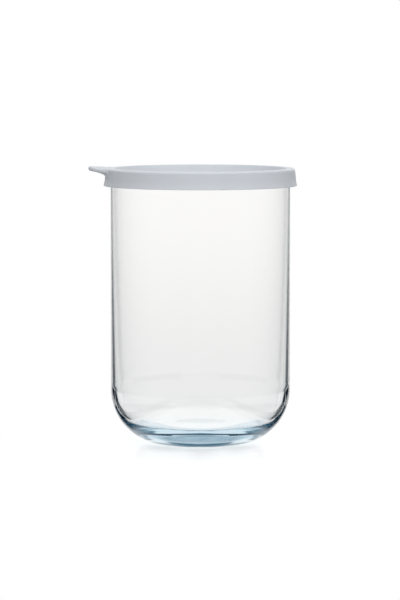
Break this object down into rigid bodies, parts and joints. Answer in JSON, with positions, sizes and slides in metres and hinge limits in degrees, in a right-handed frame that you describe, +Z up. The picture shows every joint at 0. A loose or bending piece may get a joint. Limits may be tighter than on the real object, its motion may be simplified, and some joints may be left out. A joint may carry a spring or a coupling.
{
  "type": "yogurt maker jar",
  "caption": "Straight clear glass yogurt jar with a heavy round-heeled base, closed by a milky press-on plastic lid with a sunk panel and a side pull tab.",
  "frame": {"origin": "on the jar's axis, in the plane of the foot ring that it stands on", "axes": "+Z up along the jar's axis, -X towards the lid's pull tab, so the picture's viewer stands on the -Y side"},
  "size_m": [0.1184, 0.1098, 0.1579],
  "materials": {
    "clear_glass": "clear polished glass, faintly blue where it is thick",
    "lid_plastic": "milky translucent soft plastic, satin"
  },
  "bodies": {
    "jar": {"glass_jar": "clear_glass"},
    "lid": {"snap_lid": "lid_plastic"}
  },
  "joints": [
    {"name": "lid_lift", "type": "slide", "parent": "jar", "child": "lid", "axis": [0, 0, 1], "range_m": [0, 0.08]}
  ]
}
